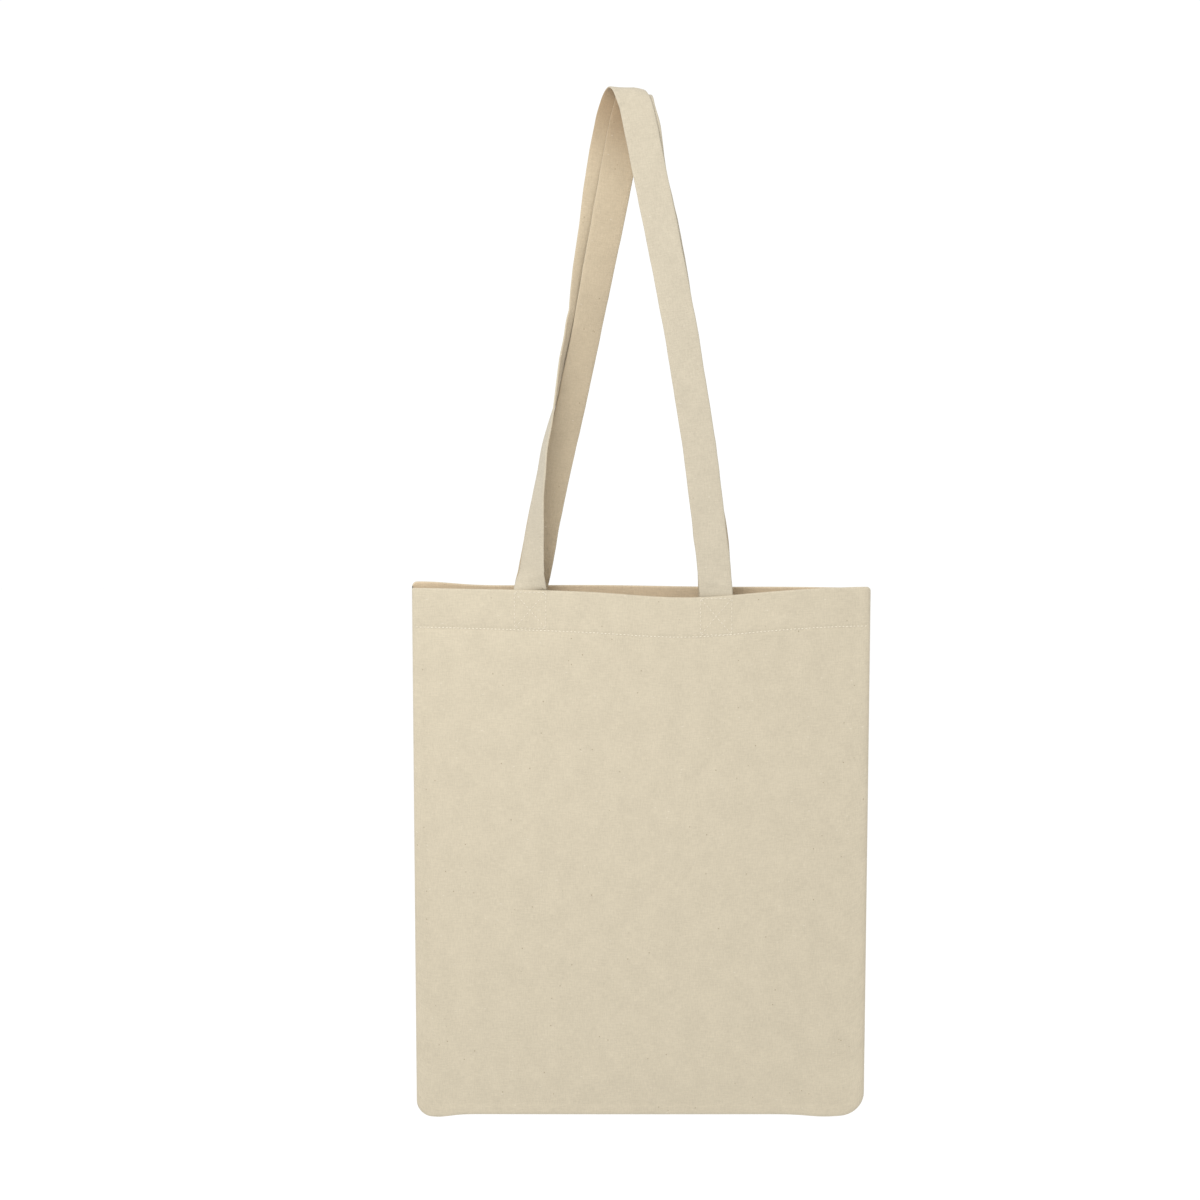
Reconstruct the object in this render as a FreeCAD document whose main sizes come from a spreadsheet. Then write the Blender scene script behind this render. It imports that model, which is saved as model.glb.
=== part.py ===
import FreeCAD, Part
import math
import os
import Sketcher

# A flat canvas tote bag hanging by its two handles: two cut panels, a turned hem round the
# mouth, one overlocked seam down the sides and along the bottom, and two long straps whose
# ends are sewn inside the hem under a stitched box with a cross.
#
# Millimetres. +Z is up, -Y is the front. The origin is the hanging point: under the top folds
# of the two handles, midway between them. Positive Y is towards the back.

document = FreeCAD.newDocument("canvas_tote_bag")
sheet = document.addObject("Spreadsheet::Sheet", "Dimensions")

DRIVING_DIMENSIONS = [
    ("bag_width", 360.0, "flat width, seam to seam"),
    ("bag_height", 430.0, "rim to bottom edge"),
    ("bag_centre_x", 11.0, "the bag's middle, right of the hanging point"),
    ("rim_height", -380.0, "the rim, below the hanging point"),
    ("cloth", 1.2, "canvas, with the air a soft sheet holds"),
    ("seam_gap", 1.6, "half the space between the two panels at the seams"),
    ("corner_left", 16.0, "radius of the left bottom corner"),
    ("corner_right", 23.0, "radius of the right bottom corner"),
    ("bulge_bottom", 1.5, "how far each panel bows out at the bottom edge"),
    ("bulge_low", 9.0, "the same, just above the bottom"),
    ("bulge_belly", 14.0, "the same, at the belly"),
    ("bulge_upper", 14.5, "the same, above the belly"),
    ("bulge_front_hem", 18.5, "the front panel at its hem line"),
    ("bulge_front_rim", 20.0, "the front panel at the mouth"),
    ("bulge_back_hem", 14.0, "the back panel at its hem line"),
    ("bulge_back_rim", 14.0, "the back panel at the mouth"),
    ("height_low", 40.0, "height of the low section"),
    ("height_belly", 150.0, "height of the belly section"),
    ("height_upper", 290.0, "height of the upper section"),
    ("hem_depth", 30.5, "from the rim down to the hem's stitching"),
    ("hem_turn", 1.4, "thickness of the turned-in cloth"),
    ("hem_inset", 10.0, "where the turned cloth stops short of a side seam"),
    ("seam_allowance", 7.0, "width of the overlocked margin inside the bag"),
    ("seam_inset", 1.0, "from the bag's outline to that margin"),
    ("seam_thickness", 2.4, "two margins wrapped in thread"),
    ("strap_width", 26.0, "handle strap"),
    ("strap_thickness", 1.8, "folded strap"),
    ("left_strap_x", -87.0, "left strap, from the bag's middle"),
    ("right_strap_x", 58.0, "right strap, from the bag's middle"),
    ("strap_rise", 1.0, "the free strap starts this far above the rim"),
    ("clearance", 0.3, "between pieces that move apart"),
    ("stand_off", 0.15, "between pieces sewn face to face"),
    ("fold_radius", 4.5, "middle of the strap at a handle's top fold"),
    ("fold_offset", 5.8, "from the hanging point to each top fold, front or back"),
    ("leg_middle_height", -196.0, "where the legs' middle sections lie"),
    ("front_left_bow", -47.0, "front handle's left leg there"),
    ("front_right_bow", 44.0, "front handle's right leg there"),
    ("back_left_bow", -36.0, "back handle's left leg there"),
    ("back_right_bow", 43.0, "back handle's right leg there"),
    ("thread", 0.9, "width of a sewn line"),
    ("thread_rise", 0.4, "how far a sewn line stands off the cloth"),
    ("box_width", 24.5, "stitched box"),
    ("box_height", 28.5, "stitched box"),
    ("cut_margin", 5.0, "how far the corner cuts reach past a panel"),
]

# How the sketcher numbers the ends of an edge, and the sketch's own origin.
EDGE_START = 1
EDGE_END = 2
SKETCH_ORIGIN = (-1, 1)


def fill_sheet():
    for row, (alias, value, note) in enumerate(DRIVING_DIMENSIONS, start=1):
        sheet.set(f"A{row}", alias)
        sheet.set(f"B{row}", str(value))
        sheet.set(f"C{row}", note)
        sheet.setAlias(f"B{row}", alias)
    document.recompute()


def bound(formula):
    """A formula over the sheet's aliases, as an expression FreeCAD can bind."""
    for alias, _, _ in sorted(DRIVING_DIMENSIONS, key=lambda row: -len(row[0])):
        formula = formula.replace("{" + alias + "}", f"Dimensions.{alias}")
    return formula


def value_of(formula):
    """What such a formula comes to now, in millimetres or degrees."""
    result = sheet.evalExpression(bound(formula))
    return float(getattr(result, "Value", result))


def origin_plane(body, role):
    return next(f for f in body.Origin.OriginFeatures if f.Role == role)


def new_body(label, at_x="0"):
    """An empty body, moved along X by a formula."""
    body = document.addObject("PartDesign::Body", label)
    body.Label = label
    body.Placement = FreeCAD.Placement()
    body.setExpression(".Placement.Base.x", bound(f"({at_x}) * 1 mm"))
    return body


def new_sketch(body, name, role="XY_Plane", offset="0"):
    """A sketch on one of the body's own planes, lifted off it by a formula."""
    sketch = body.newObject("Sketcher::SketchObject", name)
    sketch.AttachmentSupport = [(origin_plane(body, role), "")]
    sketch.MapMode = "FlatFace"
    sketch.setExpression(".AttachmentOffset.Base.z", bound(f"({offset}) * 1 mm"))
    return sketch


def arc_between(start, end, radius, side):
    """The short arc from start to end that swells to the left (1) or right (-1) of the way there."""
    chord = end - start
    swell = radius - math.sqrt(max(radius**2 - chord.Length**2 / 4, 0.0))
    left = FreeCAD.Vector(-chord.y, chord.x, 0).normalize()
    return Part.Arc(start, (start + end) * 0.5 + left * (side * swell), end)


def draw_outline(sketch, corners):
    """
    Draws one closed outline and binds it to the sheet. Each corner is (x, y) or
    (x, y, radius, side) in formulas. The last two make the side that leaves it an arc.
    """
    places = [FreeCAD.Vector(value_of(c[0]), value_of(c[1]), 0) for c in corners]
    ends = []
    for number, corner in enumerate(corners):
        start = places[number]
        end = places[(number + 1) % len(corners)]
        if len(corner) == 2:
            side = sketch.addGeometry(Part.LineSegment(start, end), False)
        else:
            arc = arc_between(start, end, value_of(corner[2]), corner[3])
            side = sketch.addGeometry(arc, False)
        to_first = (sketch.getPoint(side, EDGE_START) - start).Length
        to_last = (sketch.getPoint(side, EDGE_END) - start).Length
        forward = to_first < to_last
        ends.append((side, EDGE_START, EDGE_END) if forward else (side, EDGE_END, EDGE_START))
    for number, corner in enumerate(corners):
        side, first, last = ends[number]
        following, entry, _ = ends[(number + 1) % len(corners)]
        sketch.addConstraint(Sketcher.Constraint("Coincident", side, last, following, entry))
        for kind, formula in (("DistanceX", corner[0]), ("DistanceY", corner[1])):
            rule = Sketcher.Constraint(kind, *SKETCH_ORIGIN, side, first, value_of(formula))
            index = sketch.addConstraint(rule)
            sketch.setExpression(f"Constraints[{index}]", bound(formula))
        if len(corner) == 4:
            rule = Sketcher.Constraint("Radius", side, value_of(corner[2]))
            index = sketch.addConstraint(rule)
            sketch.setExpression(f"Constraints[{index}]", bound(corner[2]))


def bow_radius(bulge):
    """Radius of the arc across the whole width that rises by this bulge."""
    return f"(({{bag_width}} / 2) ^ 2 + ({bulge}) ^ 2) / (2 * ({bulge}))"


def bow_y(face, reach, bulge, x):
    """Y of a bowed cloth face at x. Reach is the face's distance from the middle plane at the seams."""
    radius = bow_radius(bulge)
    return f"{face} * (({reach}) + ({bulge}) - ({radius}) + sqrt(({radius}) ^ 2 - ({x}) ^ 2))"


def draw_bowed_strip(sketch, face, inner, outer, bulge, half_width):
    """A strip of cloth seen from above, between two distances from the middle plane."""
    radius = bow_radius(bulge)
    near = bow_y(face, inner, bulge, half_width)
    far = bow_y(face, outer, bulge, half_width)
    draw_outline(
        sketch,
        [
            (f"({half_width})", near, radius, -face),
            (f"-({half_width})", near),
            (f"-({half_width})", far, radius, face),
            (f"({half_width})", far),
        ],
    )


def add_loft(body, name, sketches):
    loft = body.newObject("PartDesign::AdditiveLoft", name)
    loft.Profile = sketches[0]
    loft.Sections = sketches[1:]
    loft.Ruled = len(sketches) == 2
    loft.Refine = False
    for sketch in sketches:
        sketch.Visibility = False
    return loft


def add_pad(body, name, sketch, length, midplane=False):
    pad = body.newObject("PartDesign::Pad", name)
    pad.Profile = sketch
    pad.SideType = "Symmetric" if midplane else "One side"
    pad.setExpression("Length", bound(f"({length}) * 1 mm"))
    pad.Refine = False
    return pad


# The two panels. A panel is lofted through level sections from its bottom edge to the rim, then
# its bottom corners are rounded. The cloth that is turned in at the hem is lofted on inside.

BOTTOM = "({rim_height} - {bag_height})"
HEM_LINE = "({rim_height} - {hem_depth})"


def make_panel(label, face, hem_bulge, rim_bulge):
    body = new_body(label, "{bag_centre_x}")
    levels = [
        ("Bottom", BOTTOM, "{bulge_bottom}"),
        ("Low", BOTTOM + " + {height_low}", "{bulge_low}"),
        ("Belly", BOTTOM + " + {height_belly}", "{bulge_belly}"),
        ("Upper", BOTTOM + " + {height_upper}", "{bulge_upper}"),
        ("HemLine", HEM_LINE, hem_bulge),
        ("Rim", "{rim_height}", rim_bulge),
    ]
    sections = []
    for level, height, bulge in levels:
        sketch = new_sketch(body, f"{label}_{level}", offset=height)
        draw_bowed_strip(sketch, face, "{seam_gap}", "{seam_gap} + {cloth}", bulge, "{bag_width} / 2")
        sections.append(sketch)
    add_loft(body, f"{label}_Cloth", sections)

    turned = []
    for level, height, bulge in levels[-2:]:
        sketch = new_sketch(body, f"{label}_Turned{level}", offset=height)
        inner = "{seam_gap} - {hem_turn}"
        outer = "{seam_gap} + {cloth} / 2"
        draw_bowed_strip(sketch, face, inner, outer, bulge, "{bag_width} / 2 - {hem_inset}")
        turned.append(sketch)
    add_loft(body, f"{label}_TurnedHem", turned)
    document.recompute()

    before = body.Shape.Volume
    corners = new_sketch(body, f"{label}_Corners", "XZ_Plane")
    side = "{bag_width} / 2"
    beyond = f"({side} + {{cut_margin}})"
    below = BOTTOM + " - {cut_margin}"
    for sign, radius, swell in ((-1, "{corner_left}", 1), (1, "{corner_right}", -1)):
        draw_outline(
            corners,
            [
                (f"{sign} * ({side} - {radius})", BOTTOM, radius, swell),
                (f"{sign} * {side}", f"{BOTTOM} + {radius}"),
                (f"{sign} * {beyond}", f"{BOTTOM} + {radius}"),
                (f"{sign} * {beyond}", below),
                (f"{sign} * ({side} - {radius})", below),
            ],
        )
    cut = body.newObject("PartDesign::Pocket", f"{label}_RoundedCorners")
    cut.Profile = corners
    cut.Type = "ThroughAll"
    cut.SideType = "Symmetric"
    cut.Refine = False
    document.recompute()
    if body.Shape.Volume >= before:
        raise RuntimeError(f"the corners of {label} were not rounded")
    return body


# The margins of both panels, sewn together and overlocked, stand inside the bag as one narrow
# band: down the left side, round the bottom corners and up the right side to the hem.


def make_overlocked_seam():
    body = new_body("side_and_bottom_overlock", "{bag_centre_x}")
    sketch = new_sketch(body, "Overlock_Outline", "XZ_Plane")
    outer_x = "({bag_width} / 2 - {seam_inset})"
    inner_x = "({bag_width} / 2 - {seam_inset} - {seam_allowance})"
    top = "({rim_height} - {hem_depth} - {seam_inset})"
    low = f"({BOTTOM} + {{seam_inset}})"
    floor = f"({BOTTOM} + {{seam_inset}} + {{seam_allowance}})"
    left_outer = "({corner_left} - {seam_inset})"
    right_outer = "({corner_right} - {seam_inset})"
    left_inner = "({corner_left} - {seam_inset} - {seam_allowance})"
    right_inner = "({corner_right} - {seam_inset} - {seam_allowance})"
    draw_outline(
        sketch,
        [
            (f"-{outer_x}", top),
            (f"-{outer_x}", f"{low} + {left_outer}", left_outer, -1),
            (f"-{outer_x} + {left_outer}", low),
            (f"{outer_x} - {right_outer}", low, right_outer, -1),
            (outer_x, f"{low} + {right_outer}"),
            (outer_x, top),
            (inner_x, top),
            (inner_x, f"{floor} + {right_inner}", right_inner, 1),
            (f"{inner_x} - {right_inner}", floor),
            (f"-{inner_x} + {left_inner}", floor, left_inner, 1),
            (f"-{inner_x}", f"{floor} + {left_inner}"),
            (f"-{inner_x}", top),
        ],
    )
    add_pad(body, "Overlock_Band", sketch, "{seam_thickness}", midplane=True)
    return body


# One row of lockstitch goes round the mouth, on the outside of each panel.


def make_hem_stitching(label, face, hem_bulge):
    body = new_body(label, "{bag_centre_x}")
    sketch = new_sketch(body, f"{label}_Row", offset=HEM_LINE)
    inner = "{seam_gap} + {cloth} + {stand_off}"
    outer = "{seam_gap} + {cloth} + {stand_off} + {thread_rise}"
    draw_bowed_strip(sketch, face, inner, outer, hem_bulge, "{bag_width} / 2 - {seam_inset}")
    add_pad(body, f"{label}_Thread", sketch, "{thread}")
    return body


# Where a strap is sewn on, the hem is turned by two small angles: it follows the panel's bow,
# and it leans with the mouth.


def lay_on_hem(body, face, strap_x, reach, hem_bulge, rim_bulge, height):
    """Places a body that was drawn about X = 0, Y = 0, Z = 0 on the hem's face at a strap."""
    bulge = f"(({hem_bulge} + {rim_bulge}) / 2)"
    radius = bow_radius(bulge)
    body.setExpression(".Placement.Base.x", bound(f"({{bag_centre_x}} + {strap_x}) * 1 mm"))
    body.setExpression(".Placement.Base.y", bound(f"({bow_y(face, reach, bulge, strap_x)}) * 1 mm"))
    body.setExpression(".Placement.Base.z", bound(f"({height}) * 1 mm"))
    body.setExpression(".Placement.Rotation.Yaw", bound(f"-({face}) * asin(({strap_x}) / ({radius}))"))
    lean = f"-({face}) * atan(({rim_bulge} - {hem_bulge}) / {{hem_depth}})"
    body.setExpression(".Placement.Rotation.Roll", bound(lean))


def make_strap_end(label, face, strap_x, hem_bulge, rim_bulge):
    """The part of a strap that is sewn down inside the hem."""
    body = new_body(label)
    sketch = new_sketch(body, f"{label}_Face", "XY_Plane", "-{hem_depth} / 2")
    near = "0"
    far = f"-({face}) * {{strap_thickness}}"
    half = "({strap_width} / 2)"
    draw_outline(sketch, [(f"-{half}", near), (half, near), (half, far), (f"-{half}", far)])
    add_pad(body, f"{label}_Strap", sketch, "{hem_depth} + {strap_rise} - 2 * {clearance}")
    reach = "{seam_gap} - {hem_turn} - {clearance}"
    lay_on_hem(body, face, strap_x, reach, hem_bulge, rim_bulge, "{rim_height} - {hem_depth} / 2")
    return body


def make_box_stitching(label, face, strap_x, hem_bulge, rim_bulge):
    """A sewn rectangle with a cross in it, on the outside of the panel over a strap's end."""
    body = new_body(label)
    sketch = new_sketch(body, f"{label}_Lines", "XZ_Plane", "0")
    wide = "({box_width} / 2)"
    tall = "({box_height} / 2)"
    draw_outline(
        sketch,
        [(f"-{wide}", f"-{tall}"), (wide, f"-{tall}"), (wide, tall), (f"-{wide}", tall)],
    )
    for sign in (-1, 1):
        level = f"{sign} * ({tall} - {{thread}})"
        reach = f"({wide} - 2 * {{thread}})"
        draw_outline(sketch, [(f"-{reach}", level), (reach, level), ("0", f"{sign} * {{thread}}")])
        upright = f"{sign} * ({wide} - {{thread}})"
        rise = f"({tall} - 2 * {{thread}})"
        draw_outline(sketch, [(upright, f"-{rise}"), (upright, rise), (f"{sign} * {{thread}}", "0")])
    add_pad(body, f"{label}_Thread", sketch, "{thread_rise}", midplane=True)
    reach = "{seam_gap} + {cloth} + {clearance} + {thread_rise} / 2"
    middle = "{rim_height} - {hem_depth} / 2"
    lay_on_hem(body, face, strap_x, reach, hem_bulge, rim_bulge, middle)
    return body


# A handle's free strap: two long legs, each lofted through a base, a middle and a top section,
# and the fold that joins their tops. The right leg is the nearer one at the fold.


def draw_strap_section(body, name, height, x, y, width):
    sketch = new_sketch(body, name, offset=height)
    half = f"(({width}) / 2)"
    thick = "({strap_thickness} / 2)"
    draw_outline(
        sketch,
        [
            (f"{x} - {half}", f"{y} - {thick}"),
            (f"{x} + {half}", f"{y} - {thick}"),
            (f"{x} + {half}", f"{y} + {thick}"),
            (f"{x} - {half}", f"{y} + {thick}"),
        ],
    )
    return sketch


def make_handle(label, face, rim_bulge, middles):
    """Middles are the X of the left and right legs at half height."""
    body = new_body(label)
    inner_radius = "({fold_radius} - {strap_thickness} / 2)"
    outer_radius = "({fold_radius} + {strap_thickness} / 2)"
    fold_y = f"({face} * {{fold_offset}})"
    fold_z = f"(-{inner_radius})"
    strap_reach = "{seam_gap} - {hem_turn} - {clearance} - {strap_thickness} / 2"
    for leg, strap_x, middle_x, depth in (
        ("Left", "{left_strap_x}", middles[0], 1),
        ("Right", "{right_strap_x}", middles[1], -1),
    ):
        base_y = f"({bow_y(face, strap_reach, rim_bulge, strap_x)})"
        top_y = f"({fold_y} + {depth} * {{fold_radius}})"
        base_z = "({rim_height} + {strap_rise})"
        share = f"(({{leg_middle_height}} - {base_z}) / ({fold_z} - {base_z}))"
        middle_y = f"({base_y} + ({top_y} - {base_y}) * {share})"
        stations = [
            ("Base", base_z, f"({{bag_centre_x}} + {strap_x})", base_y),
            ("Middle", "{leg_middle_height}", middle_x, middle_y),
            ("Top", fold_z, "0", top_y),
        ]
        sections = [
            draw_strap_section(body, f"{label}_{leg}{name}", height, x, y, "{strap_width}")
            for name, height, x, y in stations
        ]
        add_loft(body, f"{label}_{leg}Leg", sections)
    fold = new_sketch(body, f"{label}_FoldOutline", "YZ_Plane")
    draw_outline(
        fold,
        [
            (f"{fold_y} - {outer_radius}", fold_z, outer_radius, 1),
            (fold_y, f"{fold_z} + {outer_radius}", outer_radius, 1),
            (f"{fold_y} + {outer_radius}", fold_z),
            (f"{fold_y} + {inner_radius}", fold_z, inner_radius, -1),
            (fold_y, f"{fold_z} + {inner_radius}", inner_radius, -1),
            (f"{fold_y} - {inner_radius}", fold_z),
        ],
    )
    add_pad(body, f"{label}_TopFold", fold, "{strap_width}", midplane=True)
    return body


def make_parts():
    hems = {
        "front": (-1, "{bulge_front_hem}", "{bulge_front_rim}"),
        "back": (1, "{bulge_back_hem}", "{bulge_back_rim}"),
    }
    bows = {
        "front": ("{front_left_bow}", "{front_right_bow}"),
        "back": ("{back_left_bow}", "{back_right_bow}"),
    }
    straps = {"left": "{left_strap_x}", "right": "{right_strap_x}"}
    parts = [make_overlocked_seam()]
    for name, (face, hem_bulge, rim_bulge) in hems.items():
        parts.append(make_panel(f"{name}_panel", face, hem_bulge, rim_bulge))
        parts.append(make_hem_stitching(f"{name}_hem_stitching", face, hem_bulge))
        parts.append(make_handle(f"{name}_handle_strap", face, rim_bulge, bows[name]))
        for side, strap_x in straps.items():
            end_label = f"{name}_{side}_strap_end"
            parts.append(make_strap_end(end_label, face, strap_x, hem_bulge, rim_bulge))
            box_label = f"{name}_{side}_box_stitching"
            parts.append(make_box_stitching(box_label, face, strap_x, hem_bulge, rim_bulge))
    document.recompute()
    return parts


def check_document(parts):
    for item in document.Objects:
        if "Invalid" in item.State or "Error" in item.State:
            raise RuntimeError(f"{item.Label} failed: {item.State}")
    for part in parts:
        if part.Shape.isNull() or not part.Shape.isValid():
            raise RuntimeError(f"{part.Label} has no valid shape")
        if len(part.Shape.Solids) != 1:
            raise RuntimeError(f"{part.Label} has {len(part.Shape.Solids)} solids")


def export_parts(parts):
    os.makedirs("parts", exist_ok=True)
    for part in parts:
        part.Shape.exportStep(os.path.join("parts", f"{part.Label}.step"))
        box = part.Shape.BoundBox
        span = " ".join(f"{low:.1f}..{high:.1f}" for low, high in (
            (box.XMin, box.XMax), (box.YMin, box.YMax), (box.ZMin, box.ZMax)))
        print(f"{part.Label}: {part.Shape.Volume:.0f} mm3, {span}")


fill_sheet()
all_parts = make_parts()
check_document(all_parts)
export_parts(all_parts)
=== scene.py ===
"""
A plain canvas tote bag hanging by its two handles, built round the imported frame.

Metres, in the frame's own axes: +Z up, -Y the bag's front, the origin at the hanging point.
Distances across a panel are measured from the bag's middle line, to the right.
"""
import math

import bpy
import numpy as np
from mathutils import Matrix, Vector, noise


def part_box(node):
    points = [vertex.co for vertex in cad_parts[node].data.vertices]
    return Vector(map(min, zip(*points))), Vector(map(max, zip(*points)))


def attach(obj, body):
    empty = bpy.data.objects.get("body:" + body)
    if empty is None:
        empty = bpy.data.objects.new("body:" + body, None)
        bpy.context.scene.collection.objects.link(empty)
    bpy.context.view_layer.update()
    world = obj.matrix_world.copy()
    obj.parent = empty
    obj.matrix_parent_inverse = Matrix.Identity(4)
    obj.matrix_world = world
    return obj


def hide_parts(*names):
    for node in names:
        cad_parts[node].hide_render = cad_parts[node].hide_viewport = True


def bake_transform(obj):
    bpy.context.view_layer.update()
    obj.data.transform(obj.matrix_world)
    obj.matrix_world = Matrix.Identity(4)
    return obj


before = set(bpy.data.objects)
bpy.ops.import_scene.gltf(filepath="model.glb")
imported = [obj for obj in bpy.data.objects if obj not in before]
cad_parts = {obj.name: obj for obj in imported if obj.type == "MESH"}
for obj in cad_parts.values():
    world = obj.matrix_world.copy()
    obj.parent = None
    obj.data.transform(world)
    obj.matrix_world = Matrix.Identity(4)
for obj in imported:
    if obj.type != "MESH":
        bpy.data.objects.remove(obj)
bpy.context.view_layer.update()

MM = 0.001
FRONT, BACK = -1, 1
LEFT, RIGHT = -1, 1
SIDE_WORDS = {LEFT: "left", RIGHT: "right"}

# --------------------------------------------------------------------------------------------
# Dimensions: the bag's outline comes from the frame, the rest from the cloth itself
# --------------------------------------------------------------------------------------------

BAG_LOW, BAG_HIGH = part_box("front_panel")
CENTRE_X = (BAG_LOW.x + BAG_HIGH.x) / 2
HALF_WIDTH = (BAG_HIGH.x - BAG_LOW.x) / 2
BOTTOM_LIFT = 1.3 * MM           # the bottom seam hangs a little higher than its corners
BOTTOM_Z = BAG_LOW.z + BOTTOM_LIFT
RIM_Z = BAG_HIGH.z
BAG_HEIGHT = RIM_Z - BOTTOM_Z
HEM_DEPTH = RIM_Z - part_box("front_hem_stitching")[0].z

CLOTH = 0.75 * MM                # thickness of the canvas
CORNER_RADIUS = {LEFT: 11.5 * MM, RIGHT: 18 * MM}
SEAM_DEPTH = 2.3 * MM            # the cloth's middle, from the bag's middle plane, at the seams
NOSE = 3.0 * MM                  # width over which the cloth rolls in to the seam line
NOSE_DEPTH = 0.39 * MM           # where it meets the other panel
MARGIN_WIDTH = 8 * MM            # sewn margin inside the bag
MARGIN_RIDGE = 0.55 * MM         # how much the margin lifts the cloth over it
EARS = ((-163 * MM, 14 * MM, 2.2 * MM), (149 * MM, 20 * MM, 2.0 * MM))   # place, spread, drop

RIM_FOLD = 0.95 * MM             # radius of the fold at the rim
TURN_UNDER = 8 * MM              # raw edge turned under inside the hem
TURN_FOLD = RIM_FOLD / 2
HEM_INSET = 0.4 * MM             # the turned-in hem is this much narrower at each side
HEM_OVERLAP = 2 * MM             # its folded edge is this far below the row of stitches

# How far the rim hangs below the frame's: all along, then in each dip (depth, place, spread).
RIM_SAG = {FRONT: 1.8 * MM, BACK: 1.3 * MM}
RIM_DIPS = {
    FRONT: ((5.6 * MM, 35 * MM, 62 * MM),),
    BACK: ((-4 * MM, -175 * MM, 35 * MM), (1.4 * MM, 60 * MM, 70 * MM)),
}
RIM_TILT = 0.9 * MM              # at the right the back rim is this much lower, the front higher
RIM_TILT_FROM = 85 * MM
RIM_TILT_TO = 170 * MM
RIM_CORNERS = {FRONT: (0.8 * MM, 3 * MM), BACK: (3 * MM, 4 * MM)}    # radii, left and right
ROW_DIP = (1.1 * MM, -50 * MM, 80 * MM)      # the hem's row strays down: depth, place, spread

# How far each panel bows out from the seams' plane, by height above the bottom edge.
BULGE = {
    FRONT: ((0, 1.5), (40, 9), (150, 14), (290, 14.5), (399.5, 18.5), (430, 20)),
    BACK: ((0, 1.5), (40, 9), (150, 14), (290, 14.5), (399.5, 14), (430, 14)),
}
WAVES = 1.5 * MM                 # height of the long waves in a panel, which fade at the seams
RIPPLES = 0.35 * MM              # and of the shorter ones
WAVE_FADE = 45 * MM
PUCKER = 0.7 * MM                # height of the puckers round the hem's stitching
PUCKER_ABOVE = 9 * MM            # how far they reach
PUCKER_BELOW = 16 * MM
HEM_STEP = 0.3 * MM              # the hem's doubled cloth stands this much proud
PINCH = (0.4 * MM, 1.8 * MM)     # depth and width of the groove along the stitching
LEFT_PINCH = (0.9 * MM, 6 * MM)  # and of a wider one at the left
LEFT_PINCH_FROM = -55 * MM
LEFT_PINCH_FADE = 50 * MM

# Soft folds in the front panel: start (x, z), end (x, z), width, rise.
FRONT_CREASES = (
    ((104 * MM, -398 * MM), (142 * MM, -421 * MM), 3.2 * MM, 0.8 * MM),
    ((92 * MM, -395 * MM), (118 * MM, -404 * MM), 2.6 * MM, -0.6 * MM),
    ((-171 * MM, -422 * MM), (-100 * MM, -424 * MM), 1.6 * MM, -0.35 * MM),
)
CREASE_FADE = 0.3                # the share of a crease's length that fades, at each end

STRAP_WIDTH = 26 * MM
STRAP_THICKNESS = 1.5 * MM
STRAP_GAP = 0.15 * MM            # between the hem's inner face and a strap's sewn-in end
STRAP_DEPTH = 2 * RIM_FOLD + CLOTH / 2 + STRAP_GAP + STRAP_THICKNESS / 2
STRAP_END = 1.0 * MM             # a strap's end stops this far above the hem's stitching

THREAD_RADIUS = 0.4 * MM
STITCH_PITCH = 3.3 * MM
STITCH_LENGTH = 2.2 * MM
BOX_WIDTH = 24.5 * MM
BOX_HEIGHT = 28.5 * MM
BOX_BELOW_RIM = 1.3 * MM


def middle_of(node):
    low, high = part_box(node)
    return (low + high) / 2


STRAP_X = {side: middle_of(f"front_{word}_box_stitching").x - CENTRE_X
           for side, word in SIDE_WORDS.items()}


# --------------------------------------------------------------------------------------------
# Small tools
# --------------------------------------------------------------------------------------------


def ease(t):
    """0 up to t = 0, 1 from t = 1, smooth between."""
    t = np.clip(t, 0.0, 1.0)
    return t * t * (3 - 2 * t)


def bell(t):
    """1 at t = 0, fading to almost nothing at t = 2 on either side."""
    return np.exp(-np.square(t))


def smooth_curve(places, values, at):
    """A smooth curve through (place, value) that never overshoots them."""
    places = np.asarray(places, float)
    values = np.asarray(values, float)
    run = np.diff(places)
    slope = np.diff(values) / run
    product = slope[1:] * slope[:-1]
    total = slope[1:] + slope[:-1]
    agree = product > 0
    middle = np.where(agree, 2 * product / np.where(agree, total, 1), 0)
    tangent = np.concatenate([slope[:1], middle, slope[-1:]])
    index = np.clip(np.searchsorted(places, at) - 1, 0, len(run) - 1)
    t = np.clip((at - places[index]) / run[index], 0, 1)
    leaving = t * run[index] * tangent[index]
    arriving = (1 - t) * run[index] * tangent[index + 1]
    start = (1 - t) ** 2 * ((1 + 2 * t) * values[index] + leaving)
    end = t**2 * ((3 - 2 * t) * values[index + 1] - arriving)
    return start + end


def waves(a, b, seed):
    """Smooth noise between about -1 and 1 over two coordinates."""
    flat = [noise.noise(Vector((p, q, seed))) for p, q in zip(np.ravel(a), np.ravel(b))]
    return np.array(flat).reshape(np.shape(a))


def spaced(*stops):
    """Places from the first stop to the last: each further stop is (end, largest step)."""
    places = [stops[0]]
    for end, step in stops[1:]:
        count = max(1, math.ceil(abs(end - places[-1]) / step - 1e-9))
        places += list(np.linspace(places[-1], end, count + 1)[1:])
    return np.array(places)


def unit(vectors):
    return vectors / np.maximum(np.linalg.norm(vectors, axis=-1, keepdims=True), 1e-12)


def distances(line):
    """Each point's distance from the first, along the line."""
    return np.concatenate([[0], np.cumsum(np.linalg.norm(np.diff(line, axis=0), axis=1))])


def circle(side, up, count):
    """Unit vectors round a circle between two directions, or round one for each pair of them."""
    turn = np.linspace(0, 2 * math.pi, count, endpoint=False)[:, None]
    return np.cos(turn) * side[..., None, :] + np.sin(turn) * up[..., None, :]


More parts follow.
